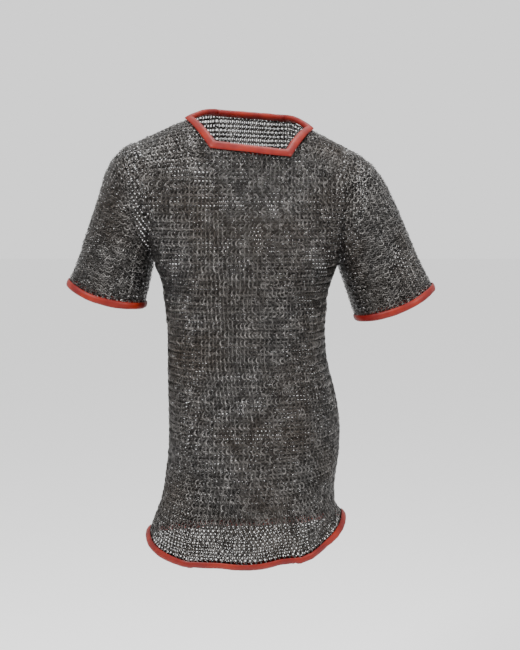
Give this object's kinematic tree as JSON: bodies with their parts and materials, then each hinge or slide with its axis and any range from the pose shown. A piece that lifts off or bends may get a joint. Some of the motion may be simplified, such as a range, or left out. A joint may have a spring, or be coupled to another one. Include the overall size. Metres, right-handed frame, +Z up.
{
  "type": "chainmail hauberk",
  "caption": "Short-sleeved mail shirt in its worn hollow form, with a square neck and every open edge bound in folded leather.",
  "frame": {"origin": "midway between the shoulders, where the wearer carries the garment", "axes": "+Z up along the body, +X to the wearer's left sleeve, -Y to the garment's front"},
  "size_m": [0.6817, 0.3091, 0.822],
  "materials": {
    "mail": "dark oiled steel rings",
    "leather": "smooth red leather strip"
  },
  "bodies": {
    "root": {"body_front": "mail", "body_back": "mail", "sleeve_right": "mail", "sleeve_left": "mail", "neck_binding": "leather", "cuff_binding_right": "leather", "cuff_binding_left": "leather", "hem_binding": "leather"}
  },
  "joints": []
}
